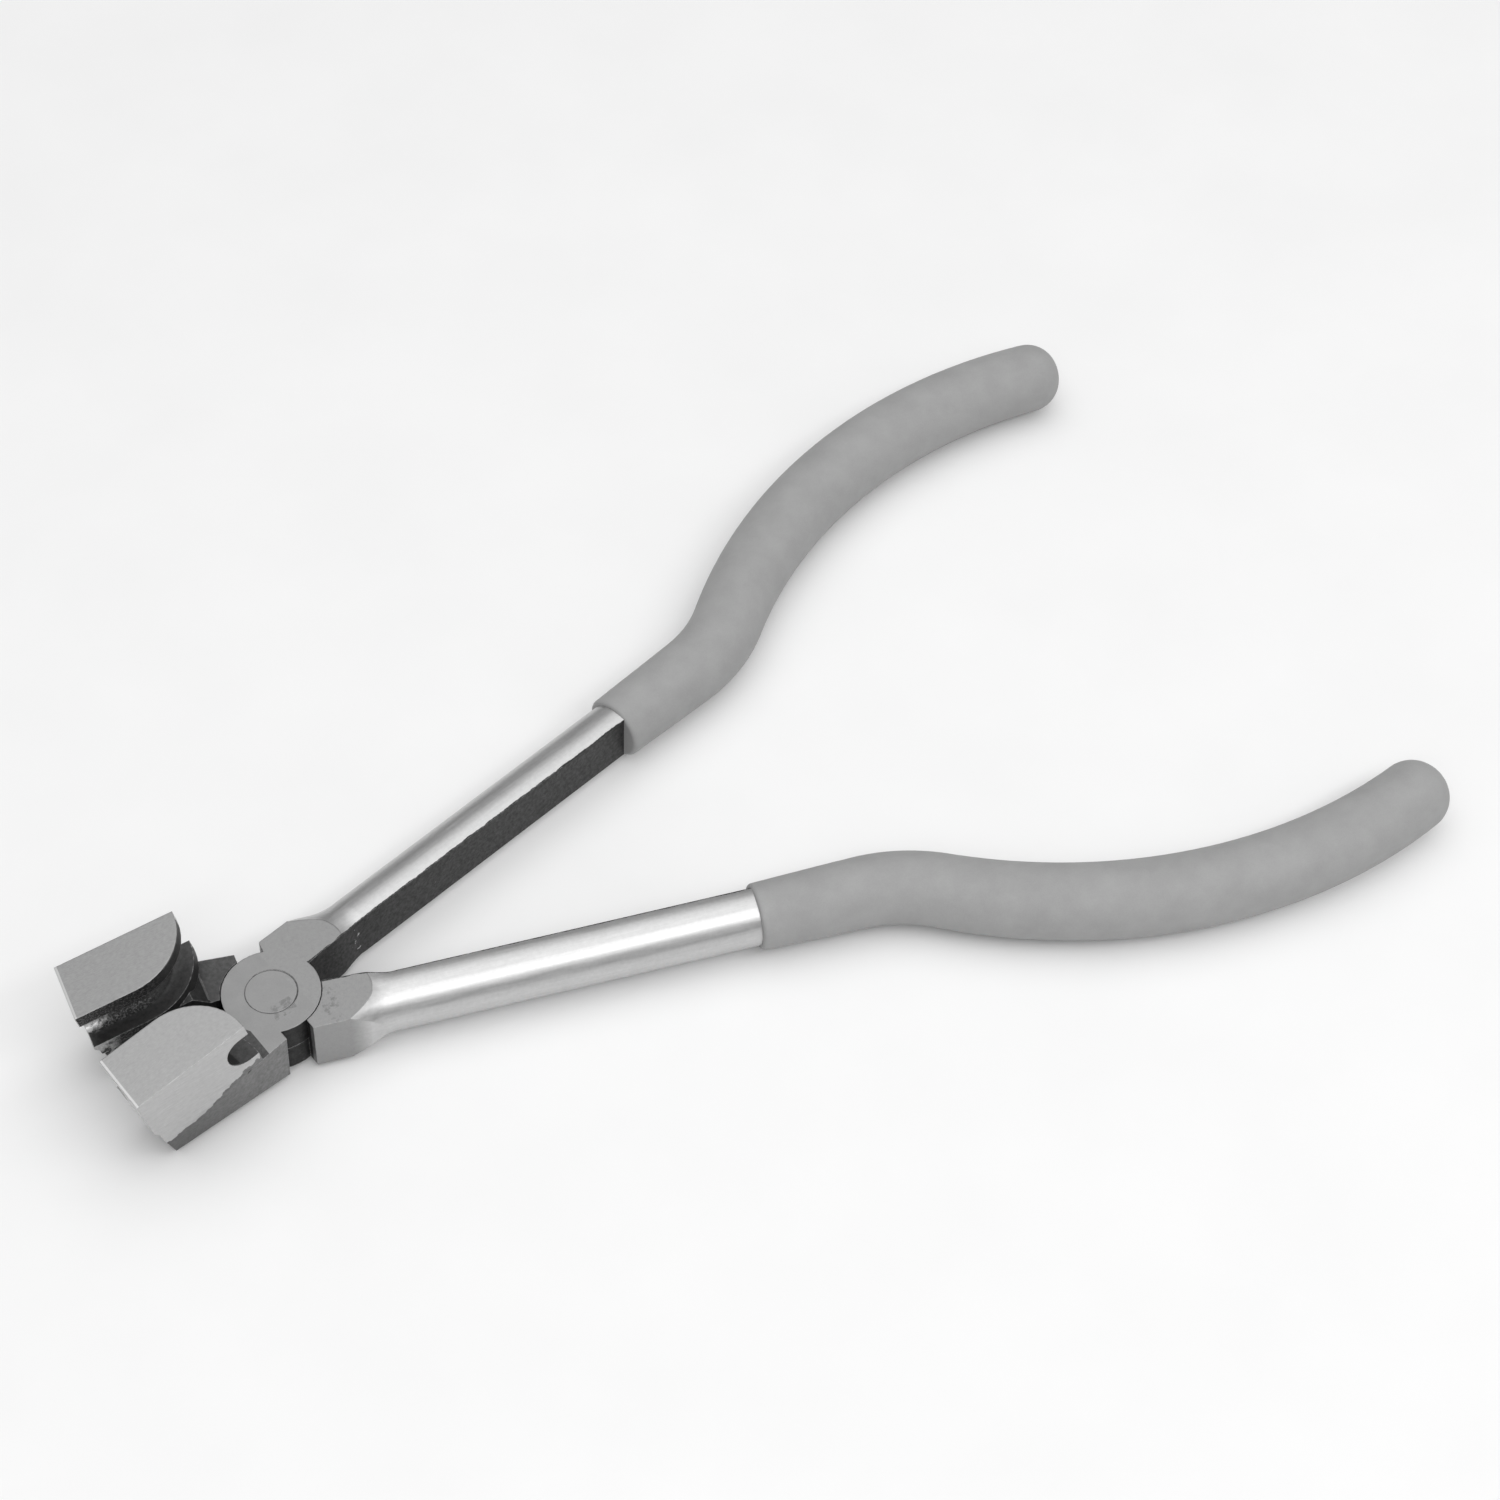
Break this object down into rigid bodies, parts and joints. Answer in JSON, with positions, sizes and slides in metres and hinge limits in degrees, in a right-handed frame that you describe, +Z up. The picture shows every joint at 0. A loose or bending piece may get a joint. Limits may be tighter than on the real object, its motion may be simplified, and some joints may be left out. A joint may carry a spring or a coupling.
{
  "type": "running pliers",
  "caption": "Hand pliers with tall channelled jaws on a flush riveted lap joint, bowed handles and dipped grips, for running a score in sheet glass.",
  "frame": {"origin": "joint axis at the flat underside of the lap joint", "axes": "+X towards the handles, +Y towards the upper half's handle, +Z up along the rivet towards the raised side of the jaws"},
  "size_m": [0.2048, 0.1208, 0.023],
  "materials": {
    "ground_steel": "ground and polished forged steel",
    "rivet_steel": "ground flush",
    "vinyl": "matte dipped vinyl"
  },
  "bodies": {
    "lower_arm": {"lower_half": "ground_steel", "lower_grip": "vinyl", "rivet": "rivet_steel"},
    "upper_arm": {"upper_half": "ground_steel", "upper_grip": "vinyl"}
  },
  "joints": [
    {"name": "jaw_hinge", "type": "hinge", "parent": "lower_arm", "child": "upper_arm", "pos_m": [0, 0, 0.00475], "axis": [0, 0, 1], "range_deg": [-14, 25]}
  ]
}
